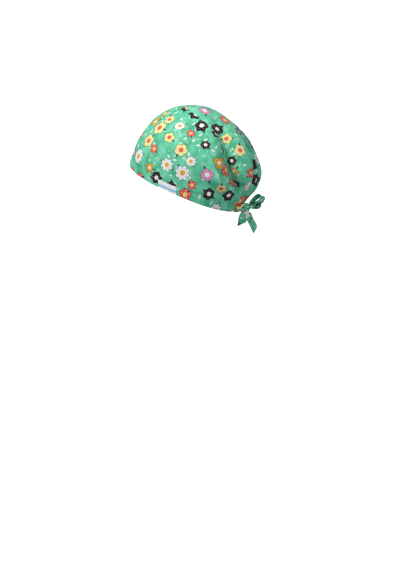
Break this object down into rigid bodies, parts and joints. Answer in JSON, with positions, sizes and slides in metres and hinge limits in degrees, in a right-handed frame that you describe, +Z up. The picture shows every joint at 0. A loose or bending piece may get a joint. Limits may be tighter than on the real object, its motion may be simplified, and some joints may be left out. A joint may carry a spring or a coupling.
{
  "type": "surgical scrub cap",
  "caption": "Tie-back cloth scrub cap in its worn form: front panel, gathered back panel, hem band, sewn label, knot, loops and tails.",
  "frame": {"origin": "middle of the head opening, where the cap sits round the head", "axes": "+Z up, the wearer faces -Y, +X is the wearer's left"},
  "size_m": [0.166, 0.226, 0.2083],
  "materials": {
    "print_cloth": "smooth printed cotton poplin, mint green with small motifs",
    "band_cloth": "the same printed cotton, folded and stitched",
    "woven_label": "white woven label, plain"
  },
  "bodies": {
    "root": {"front_panel": "print_cloth", "back_panel": "print_cloth", "hem_band": "band_cloth", "label": "woven_label", "tie_left": "band_cloth", "tie_right": "band_cloth", "knot": "band_cloth", "loop_left": "band_cloth", "loop_right": "band_cloth", "tail_left": "band_cloth", "tail_right": "band_cloth"}
  },
  "joints": []
}
